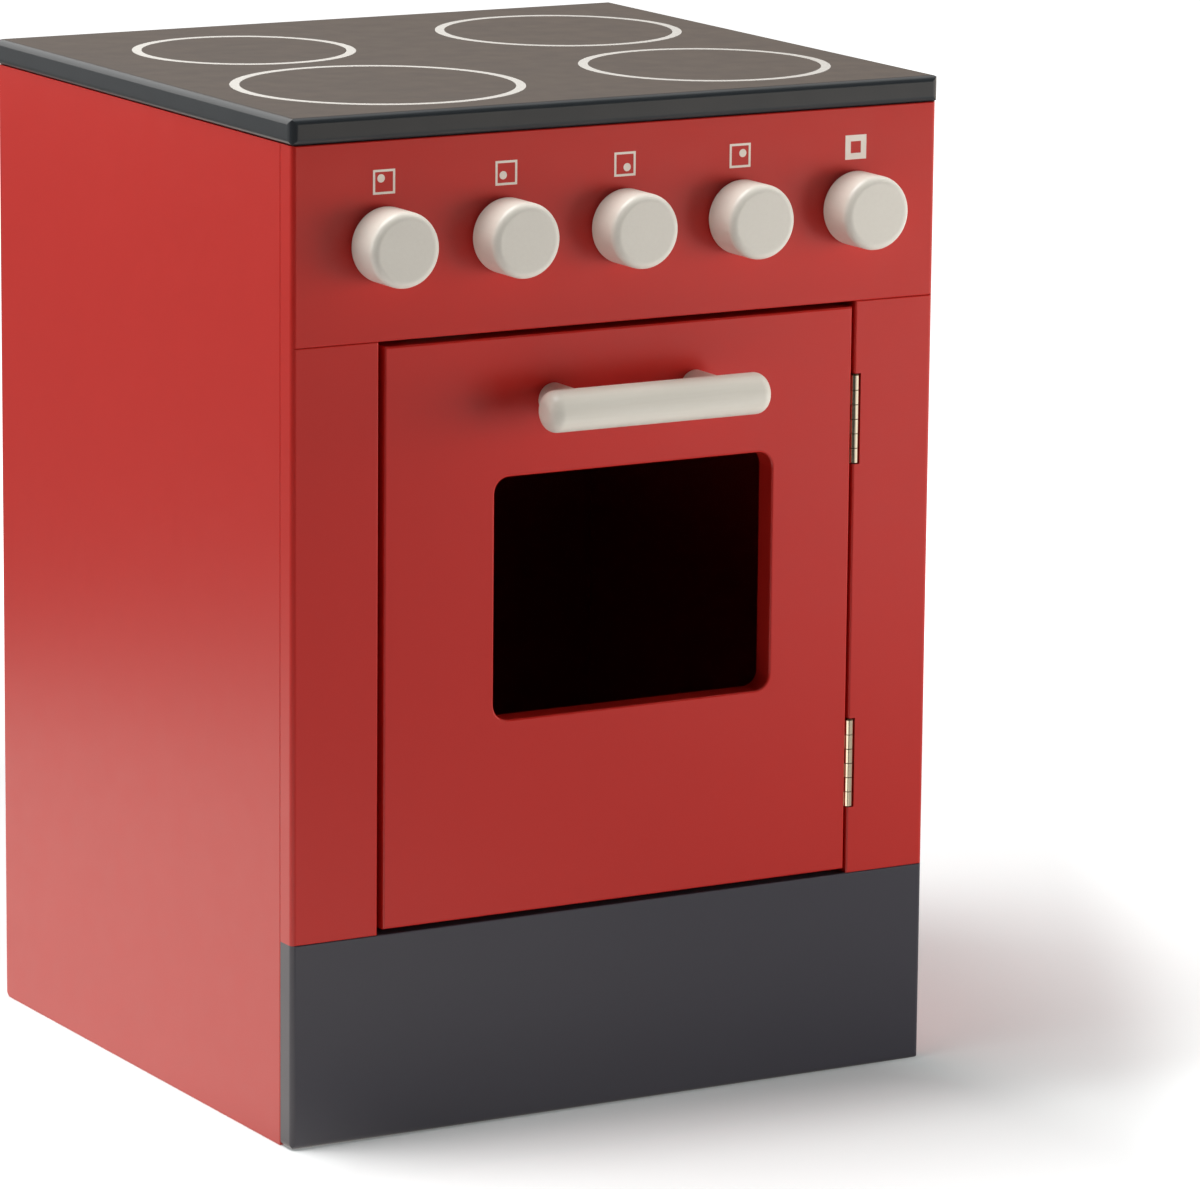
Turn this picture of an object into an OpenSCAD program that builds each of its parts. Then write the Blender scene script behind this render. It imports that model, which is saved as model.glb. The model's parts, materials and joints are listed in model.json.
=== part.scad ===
// Toy oven: a painted wooden play stove with four printed hob rings, five
// clicking knobs and a side-hinged oven door that is open at its window.
// Millimetres. The origin is on the floor in the middle of the whole outline.
// The front faces -Y and the height runs along +Z.

/* [Cabinet] */
// Height from the floor to the top of the worktop
body_h = 500; // [460:5:600]
// Width over the two side panels
body_w = 356; // [340:2:420]
// Depth from the face of the front boards to the back edge of the sides
body_d = 324; // [300:2:380]
// Thickness of the sides, front boards, shelves and door
board_t = 12; // [11:0.5:15]
// Height of the dark plinth board
plinth_h = 101.5; // [85:0.5:115]
// Height of the control fascia
fascia_h = 96; // [90:1:110]
// Width of the front stile on the latch side
latch_stile_w = 46.5; // [40:0.5:60]
// Width of the front stile on the hinge side
hinge_stile_w = 45; // [40:0.5:60]
// Thickness of the back panel
back_t = 6; // [4:0.5:9]
// Depth of the rebate in each side that takes the back panel
rebate_d = 7; // [6.5:0.5:8]
// Play around the back panel in its rebates and above the floor
back_play = 0.5; // [0.2:0.1:1.5]
// Round on the upright outer corners of the front boards
corner_round = 2.5; // [1:0.25:4]
// Round on the lower corners of the plinth
plinth_round = 3; // [1:0.5:6]
// Round on the lower back corner of each side panel
side_foot_round = 5; // [1:0.5:9]
// Paint-softened round on board edges that meet in a seam
seam_round = 0.6; // [0.3:0.1:1]

/* [Worktop] */
// Thickness of the worktop board
top_t = 13; // [12:0.5:18]
// How far the worktop stands past the cabinet all round
top_overhang = 0.9; // [0.3:0.1:6]
// Round on the worktop's upper and lower edges
top_edge_round = 3; // [1:0.5:5]
// Round on the worktop's upright corners
top_corner_round = 4; // [1:0.5:10]
// Width of the printed line of a hob ring
ring_line = 4.8; // [2:0.1:7]
// Depth of the printed rings, which lie level with the worktop's lacquer
print_t = 0.2; // [0.1:0.05:0.4]
// Middle-line radius of the back left ring
ring_back_left_r = 53.7; // [40:0.1:60]
// Middle-line radius of the front left ring
ring_front_left_r = 69.3; // [50:0.1:75]
// Middle-line radius of the back right ring
ring_back_right_r = 61; // [45:0.1:66]
// Middle-line radius of the front right ring
ring_front_right_r = 60.2; // [45:0.1:66]
// From the left side of the cabinet to the left rings' centres
ring_from_left = 92; // [80:0.5:100]
// From the right side of the cabinet to the right rings' centres
ring_from_right = 83.5; // [76:0.5:95]
// From the front face to the front left ring's centre
ring_front_left_in = 88; // [80:0.5:92]
// From the front face to the front right ring's centre
ring_front_right_in = 83.5; // [76:0.5:90]
// From the back edge to the back rings' centres
ring_from_back = 93; // [70:0.5:96]

/* [Door] */
// Gap beside the door on the latch side
gap_latch = 3; // [1.5:0.1:5]
// Gap beside the door on the hinge side
gap_hinge = 1.5; // [1.2:0.1:2.2]
// Gap above the door
gap_top = 2.6; // [1.5:0.1:5]
// Gap below the door
gap_bottom = 2.4; // [1.5:0.1:5]
// Round on the door's front edges
door_round = 1.2; // [0.5:0.1:2]
// Width of the open window
window_w = 155; // [110:1:170]
// Height of the open window
window_h = 119.5; // [90:0.5:130]
// Corner radius of the window
window_corner = 8; // [4:0.5:20]
// Round on the window's front edge
window_edge = 1.2; // [0.4:0.1:2]
// From the door's hinge side to the window
window_from_hinge = 45; // [35:0.5:52]
// From the door's top to the window
window_from_top = 68.5; // [60:0.5:80]

/* [Handle] */
// Diameter of the round handle bar
bar_d = 20.4; // [19:0.2:26]
// Length of the handle bar
bar_l = 122.4; // [110:0.4:150]
// Round on the ends of the bar
bar_round = 6.5; // [2:0.5:8]
// Diameter of the handle's posts
post_d = 16; // [13:0.5:17]
// Distance between the posts' centres
post_spacing = 79; // [60:1:88]
// From the door's face to the bar's axis
bar_out = 30; // [26:0.5:40]
// Depth of the flat seat for each post, measured to the bar's axis
post_seat = 5; // [4:0.25:5.5]
// From the door's top to the bar's axis
handle_down = 32.4; // [26:0.2:45]
// How far the handle sits off the door's middle, towards the hinges
handle_shift = 1; // [-10:0.5:10]
// Diameter of the handle's machine screws
handle_screw_d = 4; // [3:0.5:5]

/* [Knobs] */
// Diameter of a knob
knob_d = 36.6; // [30:0.2:42]
// How far a knob's face stands off the fascia
knob_out = 23.1; // [20:0.1:30]
// Round on a knob's front rim
knob_rim = 4; // [1:0.5:6]
// Round on a knob's back rim
knob_back_rim = 1.5; // [0.5:0.25:3]
// From the left side of the cabinet to the first knob's axis
knob_from_left = 49.1; // [46:0.1:60]
// From the right side of the cabinet to the last knob's axis
knob_from_right = 46.9; // [40:0.1:60]
// From the fascia's lower edge up to the knobs' axis
knob_up = 46.5; // [42:0.5:50]
// Diameter of a knob's wooden spindle
spindle_d = 9; // [7:0.5:11]
// How far a spindle is glued into its knob
spindle_in = 14; // [10:0.5:16]
// Radial play of a spindle in the fascia
spindle_play = 0.08; // [0.05:0.01:0.1]
// Gap between the fascia and a knob, and between the fascia and a click wheel
knob_gap = 0.4; // [0.3:0.05:1]
// Diameter of a click wheel
wheel_d = 26; // [22:0.5:30]
// Thickness of a click wheel
wheel_t = 4; // [3:0.5:6]
// Number of click positions in a turn
clicks = 12; // [8, 10, 12]
// Radius of the valleys round a click wheel
valley_r = 2.2; // [1.8:0.1:2.6]
// Gap between a spring's lifted nose and the crests that pass it
nose_gap = 0.3; // [0.3:0.05:0.6]
// Thickness of the spring steel
spring_t = 0.6; // [0.4:0.1:1]
// From a knob's axis to the far end of its click spring
spring_reach = 30; // [26:0.5:36]
// Width of a click spring's foot
spring_foot_w = 10; // [8:0.5:12]
// Height of a click spring's foot above its arm
spring_foot_up = 10; // [8:0.5:12]
// Length of a click spring's free end past its nose
spring_tail = 4; // [2:0.5:8]
// Diameter of the screw in a spindle's end
spindle_screw_d = 3; // [2.5:0.5:3.5]
// Length of the screw in a spindle's end
spindle_screw_l = 16; // [12:1:20]

/* [Hinges] */
// Length of a hinge
hinge_l = 43.6; // [36:0.2:60]
// Outer diameter of a hinge's knuckles
knuckle_d = 4.2; // [3.6:0.1:5]
// Number of knuckles on a hinge, shared by its two leaves
knuckles = 6; // [4:2:8]
// Gap between neighbouring knuckles
knuckle_gap = 0.4; // [0.3:0.05:0.8]
// Diameter of a hinge pin
pin_d = 2; // [1.4:0.1:2.2]
// Radial play of the pin in the knuckles
pin_play = 0.03; // [0.02:0.01:0.08]
// Height of the pin's riveted head
pin_head_h = 0.6; // [0.4:0.1:1]
// Thickness of a hinge leaf
leaf_t = 0.8; // [0.6:0.1:1]
// Gap between the knuckles and the boards that they turn against
knuckle_clear = 0.3; // [0.3:0.05:0.6]
// How far the pin's axis lies behind the front face
pin_in = 1; // [0.6:0.1:1.2]
// Room around a hinge in its notch
notch_room = 0.9; // [0.9:0.1:2]
// From the door's top down to the middle of the upper hinge
hinge_down = 56.4; // [40:0.2:80]
// From the door's bottom up to the middle of the lower hinge
hinge_up = 54; // [40:0.5:80]

/* [Catch] */
// Height of the magnetic catch under the oven's ceiling
catch_h = 16; // [14:0.5:20]
// Depth of the catch from front to back
catch_d = 14; // [12:0.5:20]
// Width of the magnet
magnet_w = 18; // [12:0.5:22]
// Thickness of the catch's plastic walls and wings
catch_wall = 2.5; // [2:0.25:4]
// Width of each screw wing beside the catch
wing_w = 8; // [7:0.5:12]
// From the door's latch side to the middle of the catch
catch_in = 36; // [30:0.5:60]
// Gap between the magnet and the closed door's plate
catch_gap = 0.3; // [0.3:0.05:1]
// Thickness of the steel plate on the door
strike_t = 1; // [0.8:0.1:2]
// Width of the steel plate on the door
strike_w = 26; // [22:1:32]
// Height of the steel plate on the door
strike_h = 9; // [8:0.5:10]

/* [Joinery] */
// Diameter of the wooden dowels
dowel_d = 6; // [5:0.5:6.5]
// How deep a dowel goes into the face of a board
dowel_face = 8; // [6:0.5:9]
// How deep a dowel goes into the edge of a board
dowel_edge = 16; // [12:0.5:20]
// From the front and the back of a shelf to its outer dowels
shelf_dowel_in = 40; // [25:1:60]
// From the ends of a stile to its outer dowels
stile_dowel_in = 28; // [20:1:50]
// Room for glue past a dowel's end
glue_room = 1; // [0.5:0.25:2]
// Section of the battens under the worktop
batten = 15; // [14:0.5:18]
// Gap at each end of a batten
batten_short = 24; // [12:1:60]
// Radial room around a screw's shank
screw_room = 0.05; // [0.02:0.01:0.15]
// Diameter of the screws in the battens
batten_screw_d = 3.5; // [3:0.5:4]
// Diameter of the back panel's screws
back_screw_d = 2.5; // [2:0.5:3]
// How far the back panel's screws go into the boards
back_screw_grip = 11; // [8:1:16]
// From the top and the bottom of a side to its outer back panel screws
back_screw_in = 39; // [25:1:60]
// Diameter of the screws in the hinge leaves and the strike plate
leaf_screw_d = 2.1; // [1.8:0.1:2.4]
// Length of the screws in the hinge leaves
leaf_screw_l = 12; // [10:1:16]
// Diameter of the screws in the catch and in the click springs
catch_screw_d = 2.5; // [2:0.5:3]

/* [Hidden] */
$fn = 48;
over = 1; // how far a cut runs past the face that it opens

red = "#a8352f";
graphite = "#47464b";
hob_black = "#3a3836";
cream = "#dcd9cf";
beech = "#d8b487";
nickel = "#c9bda2";
zinc = "#b9bcc0";
nylon = "#e9e8e2";

// The cabinet, measured from the middle of its width, its front face and the floor
half_w = body_w / 2;
side_in = half_w - board_t;
carcass_h = body_h - top_t;
back_in = body_d - back_t;
fascia_z = carcass_h - fascia_h;
shelf_depth = back_in - board_t;
floor_z = plinth_h - board_t;

// The door and what lines up with it
door_x0 = -half_w + latch_stile_w + gap_latch;
door_x1 = half_w - hinge_stile_w - gap_hinge;
door_z0 = plinth_h + gap_bottom;
door_z1 = fascia_z - gap_top;
door_w = door_x1 - door_x0;
door_h = door_z1 - door_z0;
window_x0 = door_x1 - window_from_hinge - window_w;
window_z0 = door_z1 - window_from_top - window_h;
handle_x = (door_x0 + door_x1) / 2 + handle_shift;
handle_z = door_z1 - handle_down;
post_l = bar_out - post_seat;

// The outline's depth runs from the handle's front to the worktop's back edge
handle_reach = bar_out + bar_d / 2;
front_y = (handle_reach - body_d - top_overhang) / 2;

// The hob rings: centre across, centre from the front, middle-line radius
rings = [
  [-half_w + ring_from_left, body_d - ring_from_back, ring_back_left_r],
  [-half_w + ring_from_left, ring_front_left_in, ring_front_left_r],
  [half_w - ring_from_right, body_d - ring_from_back, ring_back_right_r],
  [half_w - ring_from_right, ring_front_right_in, ring_front_right_r]
];

// The knobs, from left to right
knob_count = 5;
knob_pitch = (body_w - knob_from_left - knob_from_right) / (knob_count - 1);
function knob_x(i) = -half_w + knob_from_left + i * knob_pitch;
knob_z = fascia_z + knob_up;
wheel_y = board_t + knob_gap + wheel_t;
neck_d = spindle_d * 2 / 3;
neck_l = wheel_t - 0.2;
nose_r = valley_r - nose_gap;
nose_up = wheel_d / 2 + nose_gap + nose_r;
valley_up = wheel_d / 2 + valley_r * 0.45;

// The hinges
hinge_x = door_x1 + knuckle_d / 2 + knuckle_clear;
hinge_off = hinge_x - door_x1;
leaf_w = board_t - pin_in - 1;
leaf_screw_y = (leaf_w + knuckle_d / 2) / 2;
leaf_screw_z = hinge_l * 0.3;
knuckle_l = hinge_l / knuckles;
pin_head_d = (pin_d + knuckle_d) / 2;
upper_hinge_z = door_z1 - hinge_down;
lower_hinge_z = door_z0 + hinge_up;

// The catch and the plate that it holds
catch_x = door_x0 + catch_in;
catch_y = board_t + strike_t + catch_gap;
catch_w = magnet_w + 2 * catch_wall;
magnet_h = catch_h - 2 * catch_wall;
magnet_d = catch_d - catch_wall;
catch_z = fascia_z - catch_h / 2;

// Dowels: along the shelves' ends, and along the upright front edges
dowel_l = dowel_face + dowel_edge;
shelf_dowel_y = [board_t + shelf_dowel_in, board_t + shelf_depth / 2, back_in - shelf_dowel_in];
front_dowel_z = [
  plinth_h * 0.25, plinth_h * 0.75,
  plinth_h + stile_dowel_in, (plinth_h + fascia_z) / 2, fascia_z - stile_dowel_in,
  fascia_z + fascia_h * 0.25, fascia_z + fascia_h * 0.75
];
front_dowel_x = half_w - board_t / 2;
shelf_front_x = [catch_x, 0, -catch_x]; // the first one passes between the catch's screws

// Screws that hold the back panel, and the battens under the worktop
back_screw_x = side_in + rebate_d / 2;
back_screw_z = [for (k = [0:3]) back_screw_in + (carcass_h - 2 * back_screw_in) * k / 3];
batten_y0 = board_t + batten_short;
batten_l = shelf_depth - 2 * batten_short;
batten_up_y = [for (k = [0.15, 0.5, 0.85]) batten_y0 + batten_l * k];
batten_side_y = [for (k = [0.3, 0.7]) batten_y0 + batten_l * k];

// Countersunk screws: diameter and length
batten_up_screw = [batten_screw_d, batten + top_t * 0.7];
batten_side_screw = [batten_screw_d, batten + board_t * 0.6];
back_screw = [back_screw_d, back_t + back_screw_grip];
leaf_screw = [leaf_screw_d, leaf_screw_l];
strike_screw = [leaf_screw_d, strike_t + board_t * 0.65];
catch_screw = [catch_screw_d, catch_wall + board_t * 0.75];
foot_screw = [catch_screw_d, spring_t + board_t * 0.6];

// Moves a piece from front-face measures into the frame of the whole object
module placed() translate([0, front_y, 0]) children();

// Turns a piece to face the front: X to the right, Y up, Z out of the front
module facing(x, y, z) translate([x, y, z]) rotate([90, 0, 0]) children();

// What rounding a corner at the origin takes away
module corner_waste(r) difference() {
  translate([-r, -r]) square(2 * r);
  translate([r, r]) circle(r);
}

// A rectangle from the origin, with a round for each corner, anticlockwise
module soft_rect(w, h, r) difference() {
  square([w, h]);
  if (r[0] > 0) corner_waste(r[0]);
  if (r[1] > 0) translate([w, 0]) mirror([1, 0]) corner_waste(r[1]);
  if (r[2] > 0) translate([w, h]) rotate(180) corner_waste(r[2]);
  if (r[3] > 0) translate([0, h]) mirror([0, 1]) corner_waste(r[3]);
}

// A board with rounds on its outlines from above, from the front and from the side
module board(size, above = [0, 0, 0, 0], front = [0, 0, 0, 0], side = [0, 0, 0, 0])
  intersection() {
    linear_extrude(size.z) soft_rect(size.x, size.y, above);
    translate([0, size.y, 0]) rotate([90, 0, 0])
      linear_extrude(size.y) soft_rect(size.x, size.z, front);
    rotate([90, 0, 90]) linear_extrude(size.x) soft_rect(size.y, size.z, side);
  }

// The cross in a screw's head, cut down from the origin along +Z
module cross_recess(head_d, depth) for (a = [0, 90]) rotate(a)
  translate([-head_d * 0.3, -head_d * 0.06, -over])
    cube([head_d * 0.6, head_d * 0.12, depth + over]);

// A countersunk screw along +Z, with the flat of its head at the origin. The head is
// twice as wide as the shank, and its cone slopes at 45 degrees.
module flat_screw(screw) {
  d = screw[0];
  l = screw[1];
  difference() {
    rotate_extrude() polygon([[0, 0], [d, 0], [d / 2, d / 2], [d / 2, l - d], [d / 8, l], [0, l]]);
    cross_recess(2 * d, d * 0.35);
  }
}

// The hole that a countersunk screw sits in
module flat_screw_hole(screw) {
  d = screw[0];
  hole_l = screw[1] + glue_room;
  hole_r = d / 2 + screw_room;
  rotate_extrude() polygon([
    [0, -over], [d, -over], [d, 0], [hole_r, d - hole_r], [hole_r, hole_l], [0, hole_l]
  ]);
}

// A pan-head screw along +Z, with its head's underside at the origin
module pan_screw(d, head_d, head_h, length) difference() {
  union() {
    rotate_extrude() mirror([0, 1])
      soft_rect(head_d / 2, head_h, [0, 0, head_h * 0.6, 0]);
    rotate_extrude() polygon([[0, -head_h / 2], [d / 2, -head_h / 2], [d / 2, length - d / 2],
      [d / 4, length], [0, length]]);
  }
  translate([0, 0, -head_h]) cross_recess(head_d, head_h * 0.6);
}

// A dowel along +Z from the bottom of its hole in a board's face
module dowel() rotate_extrude()
  soft_rect(dowel_d / 2, dowel_l, [0, dowel_d / 8, dowel_d / 8, 0]);

// The hole for a dowel, from the same point, with glue room at its far end
module dowel_hole() cylinder(h = dowel_l + glue_room, d = dowel_d);

// Puts its children where each shelf dowel starts, pointing into the shelf
module shelf_dowel_places(z, side) for (y = shelf_dowel_y)
  translate([side * (side_in + dowel_face), y, z + board_t / 2]) rotate([0, -side * 90, 0])
    children();

// Puts its children where the dowels from the front boards into a side start
module front_dowel_places(side, which) for (k = which)
  translate([side * front_dowel_x, board_t - dowel_face, front_dowel_z[k]]) rotate([-90, 0, 0])
    children();

// Puts its children where the dowels from the front boards into a shelf start
module shelf_front_places(z) for (x = shelf_front_x)
  translate([x, board_t - dowel_face, z + board_t / 2]) rotate([-90, 0, 0]) children();

// Puts its children where the back panel's screws go in
module back_screw_places() {
  for (side = [-1, 1], z = back_screw_z)
    translate([side * back_screw_x, body_d, z]) rotate([90, 0, 0]) children();
  for (z = [floor_z, fascia_z], x = shelf_front_x)
    translate([x, body_d, z + board_t / 2]) rotate([90, 0, 0]) children();
}

// Puts its children where the battens' screws into the worktop and the sides go in
module batten_up_places(side) for (y = batten_up_y)
  translate([side * (side_in - batten / 2), y, carcass_h - batten]) children();
module batten_side_places(side) for (y = batten_side_y)
  translate([side * (side_in - batten), y, carcass_h - batten / 2]) rotate([0, side * 90, 0])
    children();

// Puts its children where the catch's screws go up into the ceiling
module catch_screw_places() for (s = [-1, 1])
  translate([catch_x + s * (catch_w + wing_w) / 2, catch_y + catch_d / 2, fascia_z - catch_wall])
    children();

// Puts its children where the strike plate's screws go into the door's back
module strike_screw_places() for (s = [-1, 1])
  facing(catch_x + s * strike_w * 0.34, board_t + strike_t, catch_z) children();

// Puts its children where the click springs' screws go into the fascia's back
module foot_screw_places() for (i = [0:knob_count - 1])
  facing(knob_x(i) - spring_reach + spring_foot_w / 2, board_t + spring_t,
    knob_z + nose_up + spring_t + spring_foot_up / 2) children();

module worktop() placed() color(hob_black) difference() {
  translate([-half_w - top_overhang, -top_overhang, carcass_h])
    board([body_w + 2 * top_overhang, body_d + 2 * top_overhang, top_t],
      above = [1, 1, 1, 1] * top_corner_round,
      front = [1, 1, 1, 1] * top_edge_round,
      side = [1, 1, 1, 1] * top_edge_round);
  ring_lines(print_t + over);
  for (side = [-1, 1]) batten_up_places(side) flat_screw_hole(batten_up_screw);
}

// The lines of the four rings, from the bottom of the print up to a height
module ring_lines(h) for (r = rings)
  translate([r[0], r[1], body_h - print_t]) linear_extrude(h) difference() {
    circle(r[2] + ring_line / 2);
    circle(r[2] - ring_line / 2);
  }

module burner_rings() placed() color("white") ring_lines(print_t);

// Both side panels, with side -1 on the left and 1 on the right
module side_panel(side) placed() color(red) difference() {
  mirror([side > 0 ? 1 : 0, 0, 0]) translate([-half_w, board_t, 0])
    board([board_t, body_d - board_t, carcass_h],
      above = [seam_round, 0, 0, door_round],
      side = [0, side_foot_round, 0, 0]);
  translate([side * (side_in + rebate_d / 2) - rebate_d / 2 - (side < 0 ? 0 : over), back_in, -over])
    cube([rebate_d + over, back_t + over, carcass_h + 2 * over]);
  for (z = [floor_z, fascia_z]) shelf_dowel_places(z, side) dowel_hole();
  front_dowel_places(side, [0:len(front_dowel_z) - 1]) dowel_hole();
  back_screw_places() flat_screw_hole(back_screw);
  batten_side_places(side) flat_screw_hole(batten_side_screw);
}

module back_panel() placed() color(red) difference() {
  w = 2 * (side_in + rebate_d - back_play);
  translate([-w / 2, back_in, back_play]) cube([w, back_t, carcass_h - back_play]);
  back_screw_places() flat_screw_hole(back_screw);
}

module control_fascia() placed() color(red) difference() {
  translate([-half_w, 0, fascia_z]) board([body_w, board_t, fascia_h],
    above = [corner_round, corner_round, seam_round, seam_round],
    side = [seam_round, 0, 0, seam_round]);
  for (i = [0:knob_count - 1]) facing(knob_x(i), board_t + over, knob_z)
    cylinder(h = board_t + 2 * over, d = spindle_d + 2 * spindle_play);
  for (side = [-1, 1]) front_dowel_places(side, [5, 6]) dowel_hole();
  shelf_front_places(fascia_z) dowel_hole();
  foot_screw_places() flat_screw_hole(foot_screw);
}

module left_stile() placed() color(red) difference() {
  translate([-half_w, 0, plinth_h]) board([latch_stile_w, board_t, fascia_z - plinth_h],
    above = [corner_round, door_round, 0, seam_round],
    side = [seam_round, 0, 0, seam_round]);
  front_dowel_places(-1, [2:4]) dowel_hole();
}

module right_stile() placed() color(red) difference() {
  translate([half_w - hinge_stile_w, 0, plinth_h])
    board([hinge_stile_w, board_t, fascia_z - plinth_h],
      above = [door_round, corner_round, seam_round, 0],
      side = [seam_round, 0, 0, seam_round]);
  front_dowel_places(1, [2:4]) dowel_hole();
  for (z = [upper_hinge_z, lower_hinge_z]) {
    hinge_mortise(z);
    leaf_screw_places(z, 1) flat_screw_hole(leaf_screw);
  }
}

// The shallow mortise for a leaf, and the wider notch for the knuckles in front of it
module hinge_mortise(z) {
  h = hinge_l + 2 * notch_room;
  translate([door_x1, -over, z - h / 2])
    cube([2 * hinge_off, board_t + 2 * over, h]);
  translate([door_x1, -over, z - h / 2])
    cube([hinge_off + knuckle_d / 2 + notch_room, pin_in + knuckle_d / 2 + knuckle_clear + over, h]);
}

module plinth() placed() color(graphite) difference() {
  translate([-half_w, 0, 0]) board([body_w, board_t, plinth_h],
    above = [corner_round, corner_round, seam_round, seam_round],
    front = [plinth_round, plinth_round, 0, 0],
    side = [plinth_round, 0, 0, seam_round]);
  for (side = [-1, 1]) front_dowel_places(side, [0, 1]) dowel_hole();
  shelf_front_places(floor_z) dowel_hole();
}

// The oven's floor and its ceiling are the same board at two heights
module shelf(z) difference() {
  translate([-side_in, board_t, z]) cube([2 * side_in, shelf_depth, board_t]);
  for (side = [-1, 1]) shelf_dowel_places(z, side) dowel_hole();
  shelf_front_places(z) dowel_hole();
  back_screw_places() flat_screw_hole(back_screw);
}

module oven_floor() placed() color(red) shelf(floor_z);

module oven_ceiling() placed() color(red) difference() {
  shelf(fascia_z);
  catch_screw_places() flat_screw_hole(catch_screw);
}

module worktop_battens() placed() color(beech) for (side = [-1, 1]) difference() {
  translate([side * (side_in - batten / 2) - batten / 2, batten_y0, carcass_h - batten])
    cube([batten, batten_l, batten]);
  batten_up_places(side) flat_screw_hole(batten_up_screw);
  batten_side_places(side) flat_screw_hole(batten_side_screw);
}

module batten_screws() placed() color(zinc) for (side = [-1, 1]) {
  batten_up_places(side) flat_screw(batten_up_screw);
  batten_side_places(side) flat_screw(batten_side_screw);
}

module shelf_dowels() placed() color(beech)
  for (side = [-1, 1], z = [floor_z, fascia_z]) shelf_dowel_places(z, side) dowel();

module front_dowels() placed() color(beech) {
  for (side = [-1, 1]) front_dowel_places(side, [0:len(front_dowel_z) - 1]) dowel();
  for (z = [floor_z, fascia_z]) shelf_front_places(z) dowel();
}

module back_panel_screws() placed() color(zinc) back_screw_places() flat_screw(back_screw);

// The window, with a rounded front edge that turns round its four corners
module window_cut() facing(window_x0, 0, window_z0) {
  r = window_corner;
  translate([0, 0, -board_t - over]) linear_extrude(board_t + 2 * over)
    soft_rect(window_w, window_h, [r, r, r, r]);
  for (c = [[r, r, 180], [window_w - r, r, 270], [window_w - r, window_h - r, 0],
      [r, window_h - r, 90]])
    translate([c[0], c[1], 0]) rotate(c[2]) rotate_extrude(angle = 90) translate([r, 0])
      mirror([0, 1]) window_edge_waste();
  for (e = [[r, 0, 0, window_w], [window_w, r, 90, window_h],
      [window_w - r, window_h, 180, window_w], [0, window_h - r, 270, window_h]])
    translate([e[0], e[1], 0]) rotate(e[2]) rotate([90, 0, 90]) linear_extrude(e[3] - 2 * r)
      mirror([0, 1]) mirror([1, 0]) window_edge_waste();
}

// Section of what the edge round takes off: X into the board, Y back from its face
module window_edge_waste() difference() {
  translate([-over, -over]) square(window_edge + over);
  translate([window_edge, window_edge]) circle(window_edge);
}

module door_panel() placed() color(red) difference() {
  translate([door_x0, 0, door_z0]) board([door_w, board_t, door_h],
    above = [door_round, door_round, 0, 0],
    side = [door_round, 0, 0, door_round]);
  window_cut();
  handle_screw_places() cylinder(h = 3 * bar_out, d = handle_screw_d + 2 * screw_room, center = true);
  strike_screw_places() flat_screw_hole(strike_screw);
  for (z = [upper_hinge_z, lower_hinge_z]) leaf_screw_places(z, -1) flat_screw_hole(leaf_screw);
}

// Puts its children where each handle screw's head meets the door's back
module handle_screw_places() for (s = [-1, 1])
  facing(handle_x + s * post_spacing / 2, board_t, handle_z) children();

module handle_bar() placed() color(cream) difference() {
  translate([handle_x - bar_l / 2, -bar_out, handle_z]) rotate([0, 90, 0]) rotate_extrude()
    soft_rect(bar_d / 2, bar_l, [0, bar_round, bar_round, 0]);
  for (s = [-1, 1]) facing(handle_x + s * post_spacing / 2, 0, handle_z) {
    cylinder(h = post_l, d = post_d + 2 * screw_room);
    cylinder(h = handle_reach - bar_d / 4 + glue_room / 2, d = handle_screw_d + 2 * screw_room);
  }
}

module handle_posts() placed() color(cream) for (s = [-1, 1])
  facing(handle_x + s * post_spacing / 2, 0, handle_z) difference() {
    cylinder(h = post_l, d = post_d);
    translate([0, 0, -over])
      cylinder(h = post_l + 2 * over, d = handle_screw_d + 2 * screw_room);
  }

module handle_screws() placed() color(zinc) handle_screw_places()
  pan_screw(handle_screw_d, handle_screw_d * 2, handle_screw_d * 0.6,
    board_t + handle_reach - bar_d / 4);

module strike_plate() placed() color(zinc) difference() {
  translate([catch_x - strike_w / 2, board_t, catch_z - strike_h / 2])
    board([strike_w, strike_t, strike_h], front = [2, 2, 2, 2]);
  strike_screw_places() flat_screw_hole(strike_screw);
}

module strike_screws() placed() color(zinc) strike_screw_places() flat_screw(strike_screw);

module catch_housing() placed() color(nylon) difference() {
  union() {
    translate([catch_x - catch_w / 2, catch_y, fascia_z - catch_h])
      board([catch_w, catch_d, catch_h], above = [0, 0, 2, 2], front = [1.5, 1.5, 0, 0]);
    translate([catch_x - catch_w / 2 - wing_w, catch_y + 1, fascia_z - catch_wall])
      board([catch_w + 2 * wing_w, catch_d - 2, catch_wall], above = [3, 3, 3, 3]);
  }
  magnet_space();
  catch_screw_places() flat_screw_hole(catch_screw);
}

// The magnet's own block, and the pocket that it fills
module magnet_space() translate([catch_x - magnet_w / 2, catch_y, catch_z - magnet_h / 2])
  cube([magnet_w, magnet_d, magnet_h]);

module catch_magnet() placed() color("#3b3b3d") magnet_space();

module catch_screws() placed() color(zinc) catch_screw_places() flat_screw(catch_screw);

// One leaf on a hinge axis at the origin: the plate lies on the -X side, and the
// knuckles whose number leaves rest when halved belong to this leaf
module hinge_leaf(rest) difference() {
  union() {
    translate([-hinge_off, knuckle_d / 2 + knuckle_clear, -hinge_l / 2])
      cube([leaf_t, leaf_w - knuckle_d / 2 - knuckle_clear, hinge_l]);
    for (k = [0:knuckles - 1]) if (k % 2 == rest)
      translate([0, 0, (k - knuckles / 2) * knuckle_l + (k == 0 ? 0 : knuckle_gap / 2)])
        linear_extrude(knuckle_l - knuckle_gap * (k == 0 || k == knuckles - 1 ? 0.5 : 1))
          union() {
            circle(d = knuckle_d);
            translate([-hinge_off, 0]) square([leaf_t, knuckle_d]);
          }
  }
  cylinder(h = hinge_l + 2 * over, d = pin_d + 2 * pin_play, center = true);
}

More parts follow.
